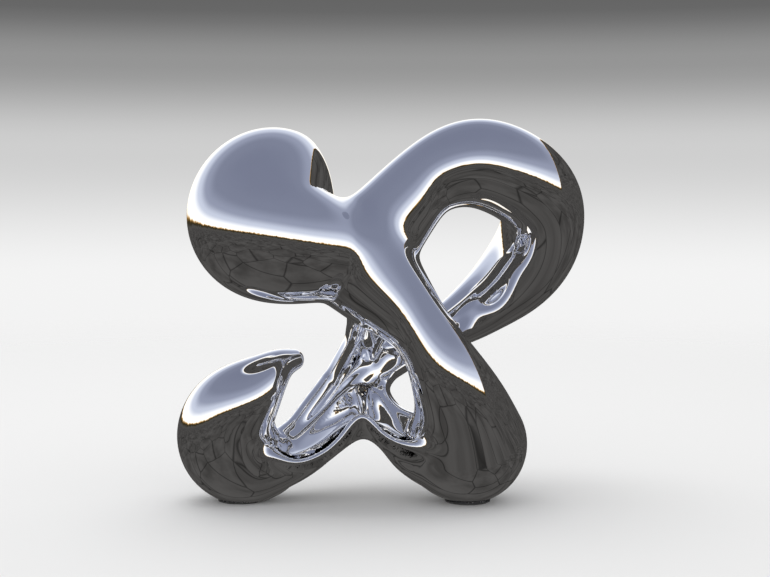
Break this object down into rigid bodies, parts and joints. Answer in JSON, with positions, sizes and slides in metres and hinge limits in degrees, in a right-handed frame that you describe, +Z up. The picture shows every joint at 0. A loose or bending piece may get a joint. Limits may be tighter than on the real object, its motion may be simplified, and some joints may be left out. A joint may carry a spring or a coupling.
{
  "type": "abstract desk sculpture",
  "caption": "Abstract mirror-polished desk sculpture of round flowing limbs: a bulbous head, a looping arm, a curled hook and rounded feet.",
  "frame": {"origin": "middle of the outline box on the resting plane, under the soft pads", "axes": "+Z up; +X towards the loop; the head bulges towards -Y"},
  "size_m": [0.2076, 0.117, 0.1928],
  "materials": {
    "mirror_steel": "mirror-polished stainless steel",
    "plain_steel": "plain turned steel, hidden inside",
    "cup_steel": "zinc-plated steel",
    "magnet": "nickel-plated sintered magnet",
    "pad": "matte soft pad"
  },
  "bodies": {
    "root": {"head_shell": "mirror_steel", "centre_shell": "mirror_steel", "loop_crown_shell": "mirror_steel", "loop_side_shell": "mirror_steel", "loop_return_shell": "mirror_steel", "leg_shell": "mirror_steel", "right_foot_shell": "mirror_steel", "left_foot_shell": "mirror_steel", "hook_shell": "mirror_steel", "bridge_bar": "mirror_steel", "rear_web": "mirror_steel", "neck_sleeve": "plain_steel", "hip_sleeve": "plain_steel", "ankle_sleeve": "plain_steel", "arm_sleeve": "plain_steel", "crown_sleeve": "plain_steel", "side_sleeve": "plain_steel", "hook_sleeve": "plain_steel", "left_foot_ring": "plain_steel", "right_foot_ring": "plain_steel", "left_magnet_cup": "cup_steel", "right_magnet_cup": "cup_steel", "left_magnet": "magnet", "right_magnet": "magnet", "left_pad": "pad", "right_pad": "pad"}
  },
  "joints": []
}
